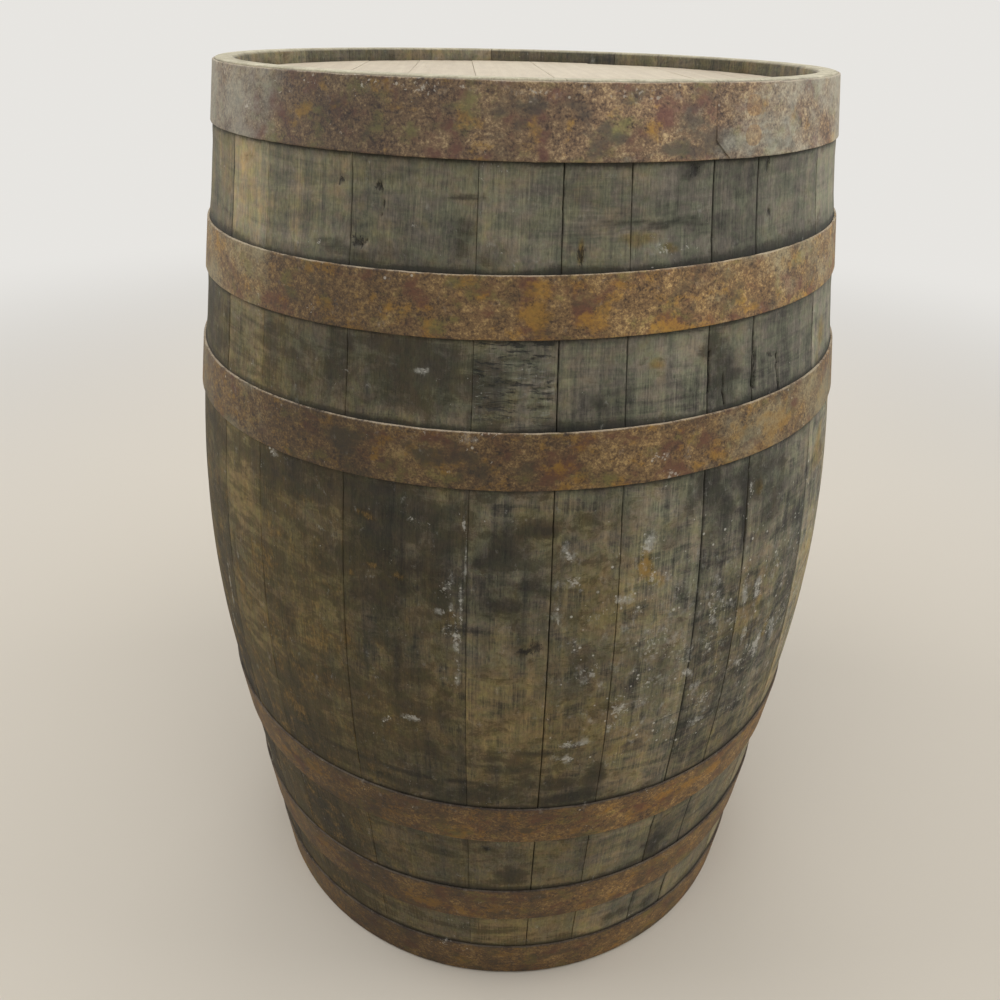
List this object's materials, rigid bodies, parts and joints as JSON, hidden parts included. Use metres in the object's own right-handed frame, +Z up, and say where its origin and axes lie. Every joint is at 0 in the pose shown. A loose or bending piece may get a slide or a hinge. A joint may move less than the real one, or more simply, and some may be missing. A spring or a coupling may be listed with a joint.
{
  "type": "oak barrel",
  "caption": "Upright oak barrel of bent staves bound by rusty steel hoops, with a boarded head in each end and a pull-out bung, for ageing and storing wine or spirits.",
  "frame": {"origin": "middle of the circle on which the lower stave ends stand, at floor level", "axes": "+Z up along the barrel's axis; the side shown in the picture faces -Y, and the bung faces +Y"},
  "size_m": [0.6608, 0.6698, 0.89],
  "materials": {
    "weathered_oak": "weathered grey-brown oak with dark stains",
    "head_oak": "pale worn oak",
    "dowel_wood": "plain wood",
    "rusty_hoop": "rusted mild steel strip",
    "rivet_iron": "rusted rivets",
    "bung_wood": "turned softer wood, stained"
  },
  "bodies": {
    "barrel": {"stave_01": "weathered_oak", "stave_02": "weathered_oak", "stave_03": "weathered_oak", "stave_04": "weathered_oak", "stave_05": "weathered_oak", "stave_06": "weathered_oak", "stave_07": "weathered_oak", "stave_08": "weathered_oak", "stave_09": "weathered_oak", "stave_10": "weathered_oak", "stave_11": "weathered_oak", "stave_12": "weathered_oak", "stave_13": "weathered_oak", "stave_14": "weathered_oak", "stave_15": "weathered_oak", "stave_16": "weathered_oak", "stave_17": "weathered_oak", "bung_stave": "weathered_oak", "stave_19": "weathered_oak", "stave_20": "weathered_oak", "stave_21": "weathered_oak", "stave_22": "weathered_oak", "stave_23": "weathered_oak", "stave_24": "weathered_oak", "stave_25": "weathered_oak", "stave_26": "weathered_oak", "stave_27": "weathered_oak", "top_cant_left": "head_oak", "top_board_1": "head_oak", "top_board_2": "head_oak", "top_board_3": "head_oak", "top_board_4": "head_oak", "top_board_5": "head_oak", "top_board_6": "head_oak", "top_cant_right": "head_oak", "bottom_cant_left": "head_oak", "bottom_board_1": "head_oak", "bottom_board_2": "head_oak", "bottom_board_3": "head_oak", "bottom_board_4": "head_oak", "bottom_board_5": "head_oak", "bottom_board_6": "head_oak", "bottom_cant_right": "head_oak", "head_dowels": "dowel_wood", "top_chime_hoop": "rusty_hoop", "top_quarter_hoop": "rusty_hoop", "top_bilge_hoop": "rusty_hoop", "bottom_bilge_hoop": "rusty_hoop", "bottom_quarter_hoop": "rusty_hoop", "bottom_chime_hoop": "rusty_hoop", "hoop_rivets": "rivet_iron"},
    "bung": {"bung": "bung_wood"}
  },
  "joints": [
    {"name": "bung_pull", "type": "slide", "parent": "barrel", "child": "bung", "axis": [0, 1, 0], "range_m": [0, 0.08]}
  ]
}
